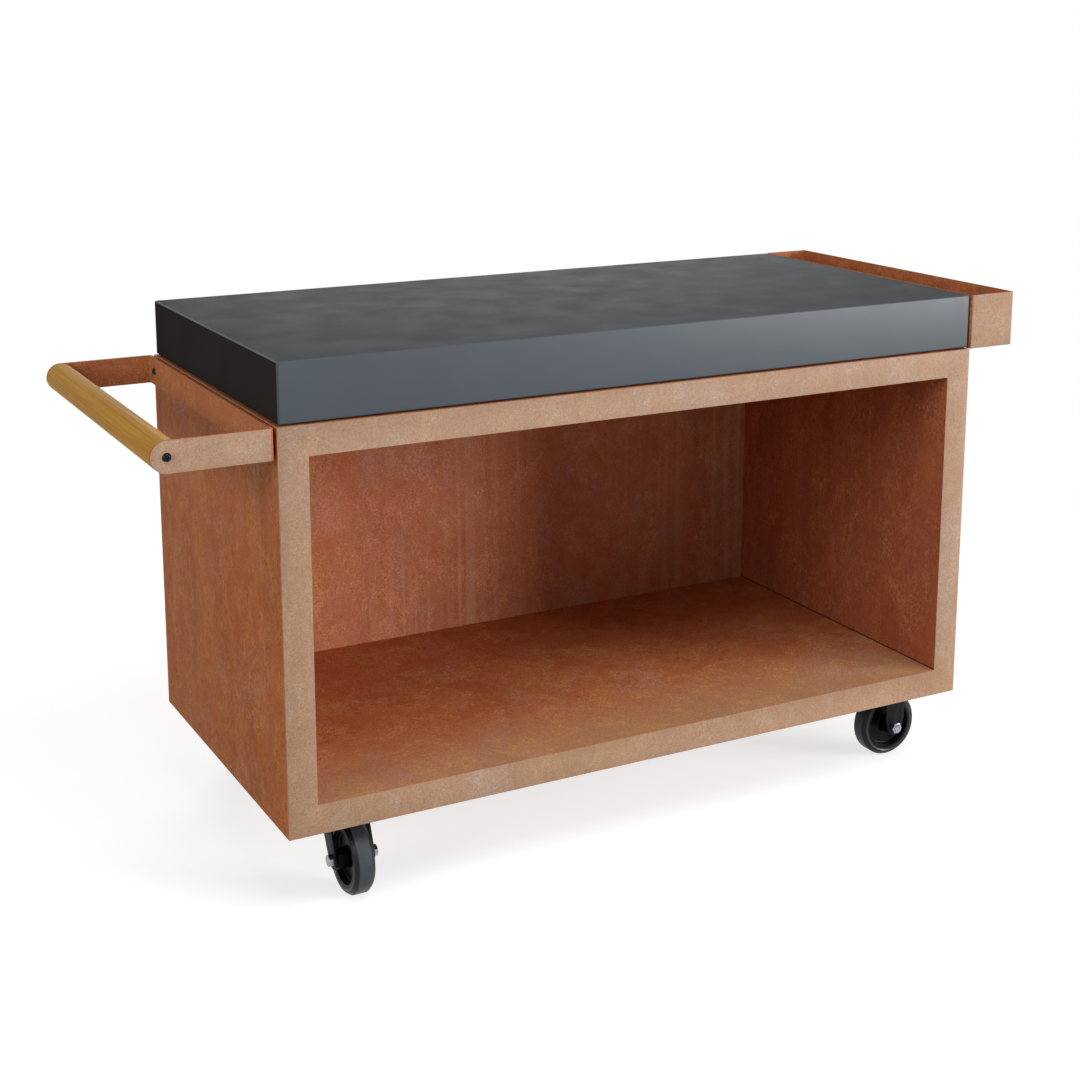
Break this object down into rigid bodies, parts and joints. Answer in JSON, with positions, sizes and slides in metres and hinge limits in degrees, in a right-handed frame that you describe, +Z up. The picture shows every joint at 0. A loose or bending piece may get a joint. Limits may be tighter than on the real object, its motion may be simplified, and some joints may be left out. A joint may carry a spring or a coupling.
{
  "type": "prep table",
  "caption": "Mobile outdoor prep table: weathering-steel cabinet with an open bay, thick stone worktop, planter trough, wooden push handle and casters.",
  "frame": {"origin": "on the ground under the middle of the whole table, from the handle's end to the planter's far face", "axes": "+X along the length towards the planter, +Y to the rear, away from the open bay, +Z up"},
  "size_m": [1.646, 0.663, 0.9135],
  "materials": {
    "corten": "matte",
    "corten_inner": "matte",
    "stone": "matte",
    "bearer_aluminium": "satin",
    "pad_rubber": "matte",
    "timber": "satin",
    "black_screws": "satin",
    "zinc": "satin",
    "ball_steel": "polished",
    "black_paint": "satin",
    "tyre": "matte",
    "core_plastic": "satin",
    "bush_nylon": "satin"
  },
  "bodies": {
    "cart": {"front_frame": "corten", "side_panel_left": "corten", "side_panel_right": "corten", "rear_panel": "corten", "top_deck": "corten", "base_pan": "corten", "bay_floor": "corten_inner", "bay_ceiling": "corten_inner", "bay_wall_left": "corten_inner", "bay_wall_right": "corten_inner", "base_channels": "corten_inner", "deck_channels": "corten_inner", "worktop_plate": "stone", "worktop_long_aprons": "stone", "worktop_end_aprons": "stone", "worktop_bearers": "bearer_aluminium", "worktop_pads": "pad_rubber", "planter_trough": "corten", "planter_screws": "black_screws", "planter_nuts": "zinc", "handle_bracket": "corten", "handle_grip": "timber", "grip_inserts": "zinc", "grip_screws": "black_screws", "handle_spacers": "black_screws", "handle_screws": "black_screws", "handle_nuts": "zinc", "rigid_fork_front": "black_paint", "rigid_fork_rear": "black_paint", "rigid_axle_bolts": "zinc", "rigid_axle_nuts": "zinc", "rigid_axle_sleeves": "zinc", "swivel_plate_front": "black_paint", "swivel_plate_rear": "black_paint", "kingpins": "zinc", "kingpin_nuts": "zinc", "swivel_balls": "ball_steel", "caster_bolts": "zinc", "caster_nuts": "zinc"},
    "swivel_front": {"swivel_fork_front": "black_paint", "swivel_bolt_front": "zinc", "swivel_nut_front": "zinc", "swivel_sleeve_front": "zinc"},
    "swivel_rear": {"swivel_fork_rear": "black_paint", "swivel_bolt_rear": "zinc", "swivel_nut_rear": "zinc", "swivel_sleeve_rear": "zinc"},
    "wheel_swivel_front": {"tyre_swivel_front": "tyre", "core_swivel_front": "core_plastic", "bush_swivel_front": "bush_nylon"},
    "wheel_swivel_rear": {"tyre_swivel_rear": "tyre", "core_swivel_rear": "core_plastic", "bush_swivel_rear": "bush_nylon"},
    "wheel_rigid_front": {"tyre_rigid_front": "tyre", "core_rigid_front": "core_plastic", "bush_rigid_front": "bush_nylon"},
    "wheel_rigid_rear": {"tyre_rigid_rear": "tyre", "core_rigid_rear": "core_plastic", "bush_rigid_rear": "bush_nylon"}
  },
  "joints": [
    {"name": "swivel_front_turn", "type": "hinge", "parent": "cart", "child": "swivel_front", "pos_m": [-0.499, -0.2305, 0.13], "axis": [0, 0, 1], "continuous": true},
    {"name": "wheel_swivel_front_roll", "type": "hinge", "parent": "swivel_front", "child": "wheel_swivel_front", "pos_m": [-0.499, -0.2675, 0.0625], "axis": [1, 0, 0], "continuous": true},
    {"name": "swivel_rear_turn", "type": "hinge", "parent": "cart", "child": "swivel_rear", "pos_m": [-0.499, 0.2305, 0.13], "axis": [0, 0, 1], "continuous": true},
    {"name": "wheel_swivel_rear_roll", "type": "hinge", "parent": "swivel_rear", "child": "wheel_swivel_rear", "pos_m": [-0.499, 0.2675, 0.0625], "axis": [1, 0, 0], "continuous": true},
    {"name": "wheel_rigid_front_roll", "type": "hinge", "parent": "cart", "child": "wheel_rigid_front", "pos_m": [0.634, -0.2305, 0.0625], "axis": [0, 1, 0], "continuous": true},
    {"name": "wheel_rigid_rear_roll", "type": "hinge", "parent": "cart", "child": "wheel_rigid_rear", "pos_m": [0.634, 0.2305, 0.0625], "axis": [0, 1, 0], "continuous": true}
  ]
}
